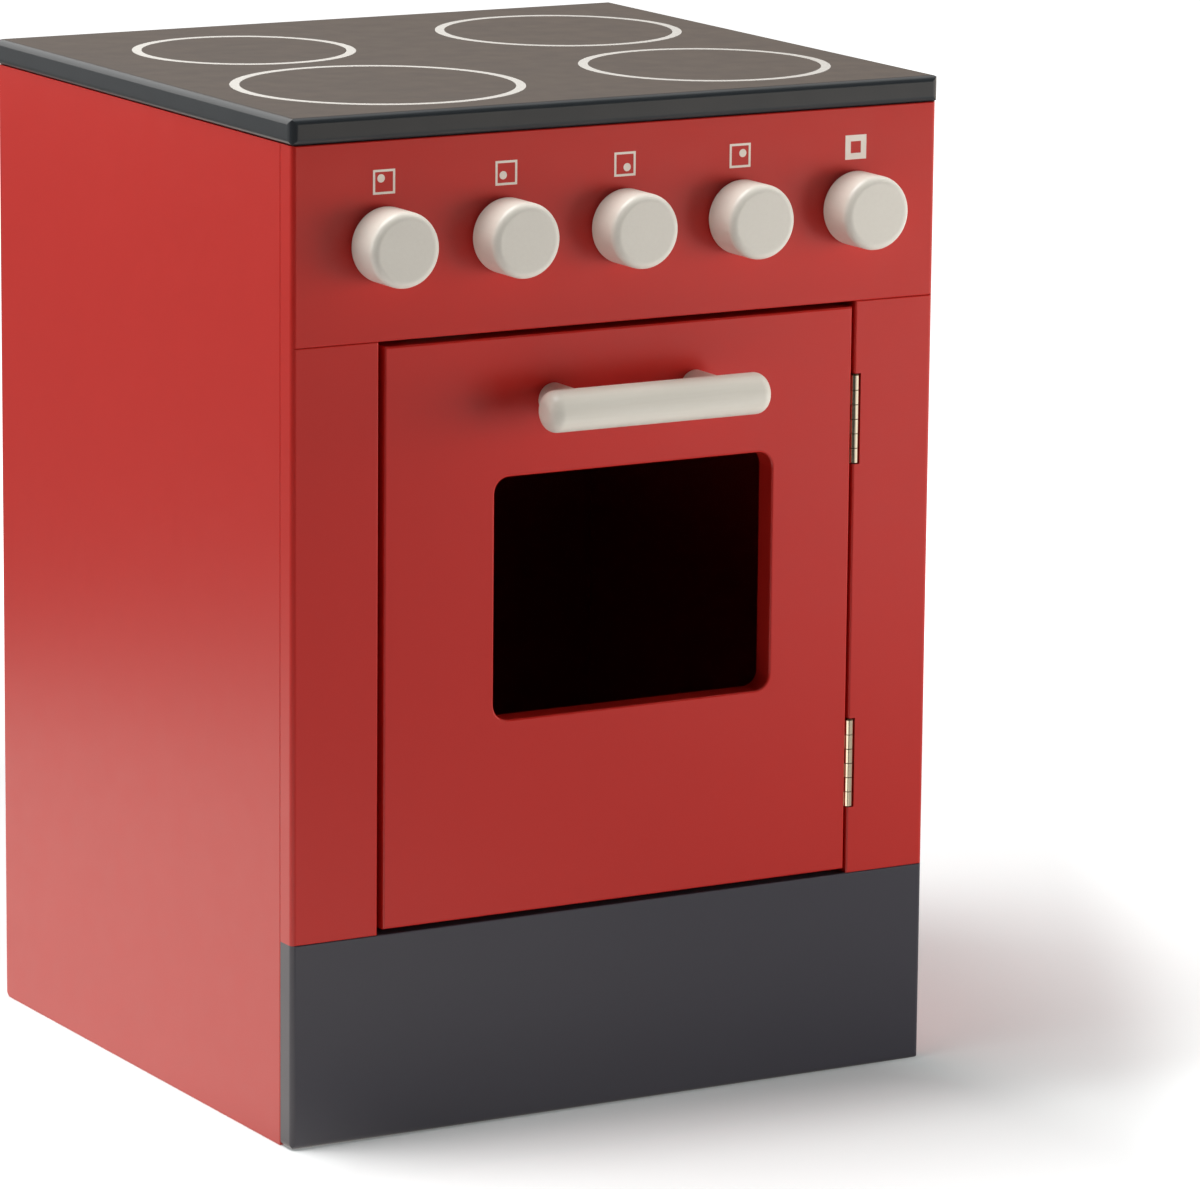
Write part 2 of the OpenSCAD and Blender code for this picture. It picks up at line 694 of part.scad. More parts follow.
// Puts its children where a leaf's screws go in: side 1 into the stile, -1 into the door
module leaf_screw_places(z, side) for (s = [-1, 1])
  translate([hinge_x + side * (hinge_off - leaf_t), pin_in + leaf_screw_y, z + s * leaf_screw_z])
    rotate([0, side * 90, 0]) children();

module frame_leaf(z) placed() color(nickel) difference() {
  translate([hinge_x, pin_in, z]) mirror([1, 0, 0]) hinge_leaf(1);
  leaf_screw_places(z, 1) flat_screw_hole(leaf_screw);
}

module door_leaf(z) placed() color(nickel) difference() {
  translate([hinge_x, pin_in, z]) hinge_leaf(0);
  leaf_screw_places(z, -1) flat_screw_hole(leaf_screw);
}

// The pin stands in both leaves and hangs by its head on the top knuckle
module hinge_pin(z) placed() color(nickel) translate([hinge_x, pin_in, z]) {
  translate([0, 0, -hinge_l / 2]) cylinder(h = hinge_l + pin_head_h, d = pin_d);
  translate([0, 0, hinge_l / 2]) cylinder(h = pin_head_h, d = pin_head_d);
}

module frame_leaf_screws() placed() color(nickel)
  for (z = [upper_hinge_z, lower_hinge_z]) leaf_screw_places(z, 1) flat_screw(leaf_screw);

module door_leaf_screws() placed() color(nickel)
  for (z = [upper_hinge_z, lower_hinge_z]) leaf_screw_places(z, -1) flat_screw(leaf_screw);

// A turned knob with a blind bore for its spindle
module knob(i) placed() color(cream) facing(knob_x(i), -knob_gap, knob_z) difference() {
  rotate_extrude() soft_rect(knob_d / 2, knob_out - knob_gap, [0, knob_back_rim, knob_rim, 0]);
  translate([0, 0, -over]) cylinder(h = spindle_in + over, d = spindle_d);
}

// A spindle from its neck, behind the fascia, to the bottom of the knob's bore
module spindle(i) placed() color(beech)
  facing(knob_x(i), wheel_y - wheel_t + neck_l, knob_z) difference() {
    rotate_extrude() polygon([
      [0, 0], [neck_d / 2, 0], [neck_d / 2, neck_l], [spindle_d / 2, neck_l],
      [spindle_d / 2, neck_l + board_t + 2 * knob_gap + spindle_in],
      [0, neck_l + board_t + 2 * knob_gap + spindle_in]
    ]);
    translate([0, 0, -over]) cylinder(h = spindle_screw_l + glue_room + over,
      d = spindle_screw_d + 2 * screw_room);
  }

// A scalloped wheel clamped on the spindle's neck, whose valleys the spring drops into
module click_wheel(i) placed() color(nylon) facing(knob_x(i), wheel_y, knob_z) difference() {
  cylinder(h = wheel_t, d = wheel_d);
  for (k = [0:clicks - 1]) rotate(k * 360 / clicks) translate([0, valley_up, -over])
    cylinder(h = wheel_t + 2 * over, r = valley_r);
  translate([0, 0, -over]) cylinder(h = wheel_t + 2 * over, d = neck_d);
}

// The screw whose wide head clamps the click wheel against the spindle's shoulder
module spindle_screw(i) placed() color(zinc) facing(knob_x(i), wheel_y, knob_z)
  pan_screw(spindle_screw_d, neck_d + 4, 2.2, spindle_screw_l);

// A bent leaf spring above each wheel: a foot on the fascia, an arm and a round nose.
// It is drawn flexed, as it is while a crest of the wheel passes under its nose.
module click_springs() placed() color(zinc) difference() {
  for (i = [0:knob_count - 1]) facing(knob_x(i), wheel_y, knob_z) {
    linear_extrude(wheel_t) union() {
      difference() {
        translate([0, nose_up]) circle(nose_r);
        translate([0, nose_up]) circle(nose_r - spring_t);
        translate([-nose_r - over, nose_up + spring_t / 2]) square([2 * (nose_r + over), nose_r]);
      }
      translate([-spring_reach, nose_up]) square([spring_reach - nose_r + spring_t, spring_t]);
      translate([nose_r - spring_t, nose_up]) square([spring_tail, spring_t]);
    }
    translate([-spring_reach, nose_up, 0])
      cube([spring_foot_w, spring_t, wheel_t + knob_gap]);
    translate([-spring_reach, nose_up, wheel_t + knob_gap - spring_t])
      cube([spring_foot_w, spring_t + spring_foot_up, spring_t]);
  }
  foot_screw_places() flat_screw_hole(foot_screw);
}

module click_spring_screws() placed() color(zinc) foot_screw_places() flat_screw(foot_screw);

worktop();
burner_rings();
side_panel(-1);  // left_side_panel
side_panel(1);  // right_side_panel
back_panel();
control_fascia();
left_stile();
right_stile();
plinth();
oven_floor();
oven_ceiling();
worktop_battens();
batten_screws();
shelf_dowels();
front_dowels();
back_panel_screws();
door_panel();
handle_bar();
handle_posts();
handle_screws();
strike_plate();
strike_screws();
catch_housing();
catch_magnet();
catch_screws();
frame_leaf(upper_hinge_z);  // upper_hinge_frame_leaf
door_leaf(upper_hinge_z);  // upper_hinge_door_leaf
hinge_pin(upper_hinge_z);  // upper_hinge_pin
frame_leaf(lower_hinge_z);  // lower_hinge_frame_leaf
door_leaf(lower_hinge_z);  // lower_hinge_door_leaf
hinge_pin(lower_hinge_z);  // lower_hinge_pin
frame_leaf_screws();
door_leaf_screws();
knob(0);  // back_left_knob
knob(1);  // front_left_knob
knob(2);  // front_right_knob
knob(3);  // back_right_knob
knob(4);  // oven_knob
spindle(0);  // back_left_spindle
spindle(1);  // front_left_spindle
spindle(2);  // front_right_spindle
spindle(3);  // back_right_spindle
spindle(4);  // oven_spindle
click_wheel(0);  // back_left_click_wheel
click_wheel(1);  // front_left_click_wheel
click_wheel(2);  // front_right_click_wheel
click_wheel(3);  // back_right_click_wheel
click_wheel(4);  // oven_click_wheel
spindle_screw(0);  // back_left_screw
spindle_screw(1);  // front_left_screw
spindle_screw(2);  // front_right_screw
spindle_screw(3);  // back_right_screw
spindle_screw(4);  // oven_screw
click_springs();
click_spring_screws();
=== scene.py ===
# %% [markdown]
# # A painted wooden play stove
# The toy is a box of 12 mm board, sprayed with satin lacquer, with turned wooden knobs,
# a round bar handle and two small brass-plated hinges.
# Its boards, knobs and hinges already exist as exact solids, so this lesson loads them
# as a fixed frame and spends its effort on what a camera sees: lacquer, printed marks,
# metal, and studio light. Everything is in metres, in the frame's own coordinates.

# %% Load the solids as a fixed frame
import json
import math

import bmesh
import bpy
from mathutils import Matrix, Vector


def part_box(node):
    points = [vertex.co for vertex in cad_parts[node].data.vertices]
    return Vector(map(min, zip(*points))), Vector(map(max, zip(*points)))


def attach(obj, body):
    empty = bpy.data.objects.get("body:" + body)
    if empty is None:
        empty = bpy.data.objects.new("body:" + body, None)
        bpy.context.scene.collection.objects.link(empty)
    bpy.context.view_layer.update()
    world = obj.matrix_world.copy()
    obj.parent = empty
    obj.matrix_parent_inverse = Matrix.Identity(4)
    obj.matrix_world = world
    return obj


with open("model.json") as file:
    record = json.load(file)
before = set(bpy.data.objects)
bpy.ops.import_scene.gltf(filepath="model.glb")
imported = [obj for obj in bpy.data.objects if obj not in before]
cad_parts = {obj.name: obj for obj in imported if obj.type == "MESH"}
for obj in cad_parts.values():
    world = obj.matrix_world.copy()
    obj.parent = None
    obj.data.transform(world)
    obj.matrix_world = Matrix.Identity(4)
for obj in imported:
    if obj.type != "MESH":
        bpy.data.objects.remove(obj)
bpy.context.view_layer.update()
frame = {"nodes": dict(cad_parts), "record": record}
print("solids:", len(frame["nodes"]))

# %% [markdown]
# ## Units and colours
# The maker measures in millimetres and picks paint by its sRGB hex value.
# Blender wants metres and linear colour. One factor and one function do both
# conversions, so every number below can be read as the maker would say it.

# %% Millimetres and hex colours
MM = 0.001


def linear(hex_color):
    """Turns an sRGB hex colour into the linear RGBA that a shader takes."""
    parts = [int(hex_color[i:i + 2], 16) / 255 for i in (1, 3, 5)]
    return [p / 12.92 if p <= 0.04045 else ((p + 0.055) / 1.055) ** 2.4 for p in parts] + [1.0]


print("mid grey #808080 is", round(linear("#808080")[0], 3), "in linear light")

# %% [markdown]
# ## One way to add a node
# A node material can be built by clicking, or in code. In code, a single helper keeps
# it readable: it makes the node, sets its options, and fills its sockets. A value that is
# itself an output socket is linked; anything else is written into the socket.

# %% The node helper
def add(tree, kind, sockets=(), **options):
    """Adds a node of this kind; sockets is a list of (input, value or output) pairs."""
    node = tree.nodes.new(kind)
    for option, value in options.items():
        setattr(node, option, value)
    for socket, value in sockets:
        if isinstance(value, bpy.types.NodeSocket):
            tree.links.new(value, node.inputs[socket])
        else:
            node.inputs[socket].default_value = value
    return node


def number(tree, operation, *values):
    """The output of a Math node: values are numbers or sockets, in order."""
    return add(tree, "ShaderNodeMath", list(enumerate(values)), operation=operation).outputs[0]


def per_metre(size_mm):
    """The Scale of a noise whose features are this many millimetres across."""
    return 1 / (size_mm * MM)


def new_material(name):
    """An empty node material, its tree, its object coordinates and its output node."""
    material = bpy.data.materials.new(name)
    material.use_nodes = True
    material.node_tree.nodes.clear()
    tree = material.node_tree
    place = add(tree, "ShaderNodeTexCoord").outputs["Object"]
    return material, tree, place, add(tree, "ShaderNodeOutputMaterial")


print("a 2.5 mm ripple needs a noise scale of", per_metre(2.5))

# %% [markdown]
# ## What every finish shares
# Each finish below is made of the same parts. A noise blends two close tones, a noise
# raises the surface by a few hundredths of a millimetre at most, and one Principled
# shader takes both. Paint, wood, ink and plastic bend light with an index of 1.5. A metal
# keeps the shader's own setting, so the last function leaves the index to its caller.

# %% Blend, raise and finish
PAINT_IOR = ("IOR", 1.5)


def noise(tree, place, size_mm, detail):
    """A soft random pattern with features of this size."""
    return add(tree, "ShaderNodeTexNoise", [("Vector", place), ("Detail", detail),
                                            ("Scale", per_metre(size_mm))]).outputs["Fac"]


def blend(tree, factor, first, second):
    """A colour between two others, each a hex colour or a socket."""
    ends = [linear(end) if isinstance(end, str) else end for end in (first, second)]
    return add(tree, "ShaderNodeMix", [("Factor", factor), ("A", ends[0]), ("B", ends[1])],
               data_type="RGBA").outputs["Result"]


def remap(tree, value, low, high, start=0.0, end=1.0):
    """Stretches a pattern's range, from start to end of it, onto low to high."""
    return add(tree, "ShaderNodeMapRange", [("Value", value), ("From Min", start),
                                            ("From Max", end), ("To Min", low),
                                            ("To Max", high)]).outputs["Result"]


def relief(tree, height, depth_mm):
    """The normals of a surface that a pattern raises by up to depth_mm."""
    return add(tree, "ShaderNodeBump", [("Height", height),
                                        ("Distance", depth_mm * MM)]).outputs["Normal"]


def cover(tree, output, color, roughness, normal, *more):
    """Ends a material in a Principled shader; more are further (input, value) pairs."""
    skin = add(tree, "ShaderNodeBsdfPrincipled", [("Base Color", color), ("Normal", normal),
                                                  ("Roughness", roughness), *more])
    tree.links.new(skin.outputs["BSDF"], output.inputs["Surface"])


print("shared by all finishes: noise, blend, remap, relief, cover")

# %% [markdown]
# ## Sprayed satin lacquer
# The boards are fibreboard, sanded, and sprayed with a satin lacquer. Up close such
# a film has orange peel: a ripple 2 to 3 mm across and a few thousandths of a millimetre
# deep, that only shows in reflections. The film also varies a little in tone and in gloss
# over a hand's width, where the spray passes overlapped.
# A plain colour would do for a thumbnail. Noise in three places, tone, roughness and
# height, is what makes the same colour look like paint. The pattern reads object
# coordinates, so it runs on over a corner as real spray does.

# %% A function for lacquer
PASS_MM = 90
MOTTLE_MM = 14
PEEL_MM = 2.6
PEEL_DEPTH_MM = 0.004
SHEEN = 0.02


def lacquer(name, color, shade, roughness):
    """Satin paint on fibreboard; color and shade are the tones it drifts between."""
    material, tree, place, output = new_material(name)
    tone = blend(tree, noise(tree, place, PASS_MM, 2.0), color, shade)
    sheen = remap(tree, noise(tree, place, MOTTLE_MM, 3.0),
                  roughness - SHEEN, roughness + SHEEN, start=0.3, end=0.7)
    peel = relief(tree, noise(tree, place, PEEL_MM, 1.5), PEEL_DEPTH_MM)
    cover(tree, output, tone, sheen, peel, PAINT_IOR)
    return material


red_lacquer = lacquer("red satin lacquer", "#C4251D", "#C1241C", 0.3)
graphite_lacquer = lacquer("graphite satin lacquer", "#403F47", "#3E3D45", 0.3)
hob_lacquer = lacquer("black-brown hob lacquer", "#313538", "#2F3336", 0.3)
print("lacquers:", red_lacquer.name + ",", graphite_lacquer.name, "and", hob_lacquer.name)

# %% [markdown]
# ## Painted shade inside the oven
# The red inside the oven is darkened, as painted shade, so the oven reads dark. A second
# material would need its own faces, and the solids share
# theirs between inside and outside. So the same lacquer is darkened where a point lies
# within the oven's box: each axis gives a 0 or a 1, and the product is 1 only inside.

# %% Darken the red inside the oven, as painted shade
def within(tree, value, low, high):
    """1 where value lies between low and high, both in millimetres."""
    middle, reach = (low + high) / 2 * MM, (high - low) / 2 * MM
    return number(tree, "COMPARE", value, middle, reach)


side_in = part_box("left_side_panel")[1].x / MM
back_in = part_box("back_panel")[0].y / MM
door_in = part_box("door_panel")[1].y / MM
floor_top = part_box("oven_floor")[1].z / MM
roof_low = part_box("oven_ceiling")[0].z / MM
SKIN = 0.2

tree = red_lacquer.node_tree
axes = add(tree, "ShaderNodeSeparateXYZ", [
    (0, add(tree, "ShaderNodeTexCoord").outputs["Object"])]).outputs
painted_shade_inside_oven = number(tree, "MULTIPLY", within(tree, axes["X"], side_in - SKIN, -side_in + SKIN),
                number(tree, "MULTIPLY",
                       within(tree, axes["Y"], door_in + SKIN, back_in + SKIN),
                       within(tree, axes["Z"], floor_top - SKIN, roof_low + SKIN)))
skin = tree.nodes["Principled BSDF"]
outside = skin.inputs["Base Color"].links[0].from_socket
# Inside the oven the red is blended to a dark red: painted shade.
tree.links.new(blend(tree, painted_shade_inside_oven, outside, "#921A16"), skin.inputs["Base Color"])
print(f"cavity: {-2 * side_in:.0f} wide, {back_in - door_in:.0f} deep, "
      f"{roof_low - floor_top:.0f} high")

# %% [markdown]
# ## Painted turned wood
# The knobs, the bar and its posts are turned beech under the same kind of cream lacquer.
# Paint sinks a little into wood, so long soft ridges of the grain still show through it.
# A noise that is stretched along the grain gives those ridges: its scale is small along
# the grain and large across it. The bar's grain runs along X, and that of the knobs and
# the posts along Y, so one function takes the direction.

# %% Cream paint over grain
RIDGE_MM = (42, 1.8)
RIDGE_DEPTH_MM = 0.03


def grained(tree, place, grain, long_mm, across_mm, detail, distortion=0.0):
    """A noise that is long_mm by across_mm; grain names the axis it runs along."""
    scale = [per_metre(long_mm if axis == grain else across_mm) for axis in "XYZ"]
    stretched = add(tree, "ShaderNodeMapping", [("Vector", place), ("Scale", scale)],
                    vector_type="POINT").outputs[0]
    return add(tree, "ShaderNodeTexNoise", [
        ("Vector", stretched), ("Scale", 1.0), ("Detail", detail),
        ("Distortion", distortion)]).outputs["Fac"]


def painted_wood(name, grain, color, shade, roughness=0.38):
    """Lacquer on turned wood, with the ridges of the grain under it."""
    material, tree, place, output = new_material(name)
    ridges = grained(tree, place, grain, *RIDGE_MM, detail=2.0)
    cover(tree, output, blend(tree, ridges, color, shade), roughness,
          relief(tree, ridges, RIDGE_DEPTH_MM), PAINT_IOR)
    return material


cream_bar = painted_wood("cream lacquer on the bar", "X", "#EFEADE", "#E7E1D3")
cream_turned = painted_wood("cream lacquer on turned wood", "Y", "#EEE9DD", "#E9E3D7")
print("cream:", cream_bar.name, "and", cream_turned.name)

# %% [markdown]
# ## Bare beech
# Dowels, battens and spindles stay bare, because nobody sees them in use. Beech is a
# pale pinkish brown with faint growth lines, and its rays show as short dark flecks
# 1 to 3 mm long. Two stretched noises do both: a soft one for the lines, and a sharp one,
# of which only the peaks are kept, for the flecks.

# %% Beech
LINES_MM = (60, 1.6)
FLECKS_MM = (2.4, 0.5)
PEAKS = (0.62, 0.68)


def beech(name, grain):
    """Bare beech whose grain runs along that axis."""
    material, tree, place, output = new_material(name)
    lines = grained(tree, place, grain, *LINES_MM, detail=4.0, distortion=0.4)
    wood = blend(tree, lines, "#E0BF95", "#C99E70")
    rays = grained(tree, place, grain, *FLECKS_MM, detail=1.0)
    flecks = remap(tree, rays, 0.0, 1.0, *PEAKS)
    cover(tree, output, blend(tree, flecks, wood, "#A87B50"), 0.6,
          relief(tree, lines, 0.05), PAINT_IOR)
    return material


beech_across = beech("beech, grain left to right", "X")
beech_deep = beech("beech, grain front to back", "Y")
print("beech:", beech_across.name, "and", beech_deep.name)

# %% [markdown]
# ## Plated steel
# The hinges are rolled steel strip with a thin brass wash; the screws, springs and
# the strike plate are zinc plated. Metal has no colour of its own but that of its
# reflections, so a metal is a metallic of 1, a tint, and a roughness that varies.
# The hinge pins are tinted dark, as painted shade, so the gaps between the knuckles read dark.
# Rolling leaves fine lines along the strip. The real ones are too fine to show at
# this size, so they are drawn 0.35 mm apart. Zinc has a fine cloudy mottle instead.

# %% Brass-washed and zinc-plated steel
ROLLED = {"long_mm": 12, "across_mm": 0.35, "depth_mm": 0.01}
CLOUDY = {"long_mm": 0.9, "across_mm": 0.9, "depth_mm": 0.006}
WEAR = 0.05


def plated_steel(name, tint, shade, roughness, long_mm, across_mm, depth_mm):
    """Steel with a thin coat; its lines run up and down, along the hinges."""
    material, tree, place, output = new_material(name)
    lines = grained(tree, place, "Z", long_mm, across_mm, detail=3.0)
    gloss = remap(tree, lines, roughness - WEAR, roughness + WEAR)
    cover(tree, output, blend(tree, lines, tint, shade), gloss,
          relief(tree, lines, depth_mm), ("Metallic", 1.0))
    return material


hinge_metal = plated_steel("brass-washed steel", "#F6EBD5", "#E4D5B6", 0.15, **ROLLED)
zinc_metal = plated_steel("zinc-plated steel", "#C9CDD2", "#B4B9C0", 0.36, **CLOUDY)
# The pins' dark tint is painted shade in the gaps between the knuckles.
pin_metal_painted_dark = plated_steel("brass-washed steel tinted as painted shade", "#6E6146", "#4A4130", 0.3, **ROLLED)
print("metals:", hinge_metal.name + ",", zinc_metal.name, "and", pin_metal_painted_dark.name)

# %% [markdown]
# ## Moulded nylon and ferrite
# The click wheels are moulded nylon: off-white, faintly see-through, with the fine texture
# of an eroded mould. The catch housing is dark brown nylon, which cabinet catches are also
# sold in; its dark colour is also painted shade, so nothing pale shows through the gap over
# the door. The magnet is ferrite, a pressed and sintered powder: dark grey, dull and grainy.
# All are plain base colours with grain in the bump; pale nylon also lets light in a little,
# by subsurface scattering.

# %% Nylon and ferrite
SCATTER_MM = 1.5


def grainy(name, color, shade, roughness, grain_mm, depth_mm, scatter=0.0):
    """A moulded or pressed surface; scatter is how much light enters it."""
    material, tree, place, output = new_material(name)
    grain = noise(tree, place, grain_mm, 4.0)
    cover(tree, output, blend(tree, grain, color, shade), roughness,
          relief(tree, grain, depth_mm), PAINT_IOR, ("Subsurface Weight", scatter),
          ("Subsurface Scale", SCATTER_MM * MM))
    return material


nylon = grainy("moulded nylon", "#ECEAE3", "#E4E2DA", 0.45, 0.5, 0.015, scatter=0.2)
# The catch's dark brown is partly painted shade, for the gap over the door.
brown_nylon_gap_shade = grainy("brown moulded nylon", "#33251E", "#2B1F19", 0.45, 0.5, 0.015)
ferrite = grainy("sintered ferrite", "#45464A", "#2E2F32", 0.62, 0.35, 0.03)
print("mouldings:", nylon.name + ",", brown_nylon_gap_shade.name, "and", ferrite.name)

# %% [markdown]
# ## Screen-printed ink
# The hob rings and the little signs over the knobs are white ink, pressed through a mesh.
# The ink is matt, a hair thicker than the lacquer, and the mesh leaves a faint pattern
# of squares. A wave along X times a wave along Y makes such squares. The real mesh is
# about 0.1 mm, too fine to show. A wave node's bands repeat every 0.31 of its own unit,
# so a unit of 12 mm draws them 3.8 mm apart. The rings lie flat under the lamp and the
# signs stand upright, so the ring ink is mixed greyer, as painted shade, to look as white.

# %% White ink
WAVE_UNIT_MM = 12
INK_PATCH_MM = 4
MESH_DEPTH_MM = 0.008


def printed_ink(name, color, shade):
    """Matt ink with the faint squares of the printing mesh."""
    material, tree, place, output = new_material(name)
    waves = [add(tree, "ShaderNodeTexWave", [("Vector", place), ("Distortion", 0.5),
                                             ("Scale", per_metre(WAVE_UNIT_MM))],
                 bands_direction=axis).outputs["Fac"] for axis in "XY"]
    tone = blend(tree, noise(tree, place, INK_PATCH_MM, 3.0), color, shade)
    cover(tree, output, tone, 0.55,
          relief(tree, number(tree, "MULTIPLY", *waves), MESH_DEPTH_MM), PAINT_IOR)
    return material


# The ring ink is greyer than the sign ink: painted shade, because the rings face the lamp.
ring_ink_painted_shade = printed_ink("grey-white screen print", "#C6C4BF", "#BDBBB5")
sign_ink = printed_ink("white screen print", "#FFF3E6", "#F8ECDF")
print("inks:", ring_ink_painted_shade.name, "and", sign_ink.name)

# %% [markdown]
# ## Every solid gets its finish
# The record names a material slot for each solid. A small table turns slots into
# materials. A second one lists the few solids that need another version of theirs: the
# grain the other way, the pins tinted dark as painted shade, and the brown catch, whose
# dark colour is partly painted shade.

# %% Put the finishes on the solids
finish_of_slot = {
    "red_paint": red_lacquer, "graphite_paint": graphite_lacquer, "hob_paint": hob_lacquer,
    "ring_print": ring_ink_painted_shade, "cream_paint": cream_turned, "beech": beech_deep,
    "hinge_steel": hinge_metal, "zinc_steel": zinc_metal, "nylon": nylon, "ferrite": ferrite,
}
finish_of_node = {
    "handle_bar": cream_bar, "shelf_dowels": beech_across, "front_dowels": beech_across,
    "upper_hinge_pin": pin_metal_painted_dark, "lower_hinge_pin": pin_metal_painted_dark, "catch_housing": brown_nylon_gap_shade,
}
for part in frame["record"]["subparts"]:
    solid = frame["nodes"][part["node"]]
    finish = finish_of_node.get(part["node"], finish_of_slot[part["material_slot"]])
    solid.data.materials.clear()
    solid.data.materials.append(finish)

# %% [markdown]
# ## The signs over the knobs
# Over each knob is a small printed sign. A square stands for the hob seen from above, and
# a dot in it for the ring that the knob controls; the fifth sign, a thick square, is the
# oven. They could be a picture on the board, but a picture has a resolution and needs
# coordinates. Thin real plates of ink stay sharp at any zoom. A grid of one face is inset
# to make a frame, the middle is deleted, and the rest is extruded by the ink's thickness.

# %% Build one sign
FACE_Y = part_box("control_fascia")[0].y
INK_MM = 0.1
SIGN_Z_MM = 467.3
DOT_RADIUS_MM = 2.0
DOT_SEGMENTS = 40


def new_object(name, shape, material):
    """Turns a finished bmesh into an object in the scene, with its material."""
    mesh = bpy.data.meshes.new(name)
    shape.to_mesh(mesh)
    shape.free()
    mesh.materials.append(material)
    piece = bpy.data.objects.new(name, mesh)
    bpy.context.scene.collection.objects.link(piece)
    return piece


def thicken(shape, depth_mm):
    """Extrudes a flat shape in XY upwards, and closes it into a solid plate."""
    grown = bmesh.ops.extrude_face_region(shape, geom=shape.faces[:])["geom"]
    top = [part for part in grown if isinstance(part, bmesh.types.BMVert)]
    bmesh.ops.translate(shape, vec=(0, 0, depth_mm * MM), verts=top)
    bmesh.ops.recalc_face_normals(shape, faces=shape.faces[:])


def square_frame(side_mm, line_mm):
    """A flat square outline in XY."""
    shape = bmesh.new()
    bmesh.ops.create_grid(shape, x_segments=1, y_segments=1, size=side_mm / 2 * MM)
    middle = shape.faces[:]
    bmesh.ops.inset_region(shape, faces=middle, thickness=line_mm * MM,
                           use_boundary=True, use_even_offset=True)
    bmesh.ops.delete(shape, geom=middle, context="FACES")
    return shape


def sign(name, x_mm, side_mm, line_mm, dot_at=None):
    """Stands a sign upright on the fascia, and adds the dot of a ring if there is one."""
    shape = square_frame(side_mm, line_mm)
    if dot_at:
        spot = Matrix.Translation((dot_at[0] * MM, dot_at[1] * MM, 0))
        bmesh.ops.create_circle(shape, cap_ends=True, segments=DOT_SEGMENTS,
                                radius=DOT_RADIUS_MM * MM, matrix=spot)
    thicken(shape, INK_MM)
    upright = (Matrix.Translation((x_mm * MM, FACE_Y, SIGN_Z_MM * MM))
               @ Matrix.Rotation(math.radians(90), 4, "X"))
    bmesh.ops.transform(shape, matrix=upright, verts=shape.verts[:])
    piece = new_object(name, shape, sign_ink)
    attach(piece, "cabinet")
    return piece


print("signs: ink", INK_MM, "mm thick, at", SIGN_Z_MM, "mm up")

# %% [markdown]
# ## Five signs in a row
# Four of the signs carry a dot, at the ring's place as a cook sees the hob from above.
# The numbers are the middle of each sign, its outer width, its line, and the dot's place.

# %% Print the five signs
RING_SIGN = (11.8, 1.15)
OVEN_SIGN = (12.0, 3.1)

signs = [
    sign("back_left_sign", -129.2, *RING_SIGN, (-1.6, 1.7)),
    sign("front_left_sign", -63.5, *RING_SIGN, (-1.7, -1.1)),
    sign("front_right_sign", 1.5, *RING_SIGN, (1.2, -1.6)),
    sign("back_right_sign", 65.8, *RING_SIGN, (1.5, 1.1)),
    sign("oven_sign", 131.6, *OVEN_SIGN),
]
print("signs:", ", ".join(piece.name for piece in signs))

# %% [markdown]
# ## A sheet of white paper
# A product photograph stands its subject on one large white sheet. Near the toy the sheet
# must keep the shadow; farther off it should melt into a pure white background. So the
# paper is a plain diffuse white, and rays from the camera add a glow to it that grows
# from grey to full white with the distance. A smooth step in the distance does that.
# Some of the steps follow a distance in one direction only, which a dot product gives.

# %% Numbers that fade with a distance
PAPER = (0.8, 0.8, 0.8, 1.0)
WHITE = (1.0, 1.0, 1.0, 1.0)
BLACK = (0.0, 0.0, 0.0, 1.0)
RIGHT = (1.0, 0.0, 0.0)
FORWARD = (0.0, -1.0, 0.0)


def fade(tree, distance, start, end, value_start, value_end):
    """A number that runs smoothly from one value to another with the distance in metres."""
    return add(tree, "ShaderNodeMapRange", [("Value", distance), ("From Min", start),
                                            ("From Max", end), ("To Min", value_start),
                                            ("To Max", value_end)],
               interpolation_type="SMOOTHSTEP").outputs["Result"]


def along(tree, place, direction):
    """How far a point lies in that direction: the dot product with it."""
    return add(tree, "ShaderNodeVectorMath", [(0, place), (1, direction)],
               operation="DOT_PRODUCT").outputs["Value"]


print("paper reflects", PAPER[0], "of the light that falls on it")

# %% [markdown]
# ## The painted reflection of the floor
# Satin lacquer mirrors the floor softly. What it mirrors here is a painted reflection:
# glossy rays read the floor's brightness from this function, and not from the paper. It
# paints a pool of light beside the toy at the back left, and keeps the floor dark under
# the camera. In front of the toy it is dark at the plinth's foot, a painted reflection of
# the contact shadow, brighter farther off, and brighter to the left than to the right.

# %% The painted pool of light beside the toy
POOL_LEVEL, POOL_END_LEVEL = 1.5, 0.3
POOL_FROM, POOL_TO = 0.75, 1.2
FRONT_LEFT = (-1.0, -0.5, 0.0)
LEFT_OF_TOY = (-1.0, 0.25, 0.0)


def painted_floor_reflection(tree, place, away):
    """How bright the painted reflection of the floor is in the lacquer, as a multiple of white.
    """
    # A painted pool of light, which only reflections see.
    pool = fade(tree, away, POOL_FROM, POOL_TO, POOL_LEVEL, POOL_END_LEVEL)
    front = fade(tree, away, 0.2, 0.5, 0.17, 0.5)
    for direction, steps in ((FRONT_LEFT, (0.28, 0.45, 1.0, 0.1)),
                             (RIGHT, (-0.05, 0.3, 2.1, 0.85))):
        front = number(tree, "MULTIPLY", front,
                       fade(tree, along(tree, place, direction), *steps))
    left = fade(tree, along(tree, place, LEFT_OF_TOY), 0.05, 0.2, 0.0, 1.0)
    return add(tree, "ShaderNodeMix", [("Factor", left), ("A", front),
                                       ("B", pool)]).outputs["Result"]


print("the pool is", POOL_LEVEL, "times white up to", POOL_FROM, "m, and", POOL_END_LEVEL,
      "from", POOL_TO, "m")

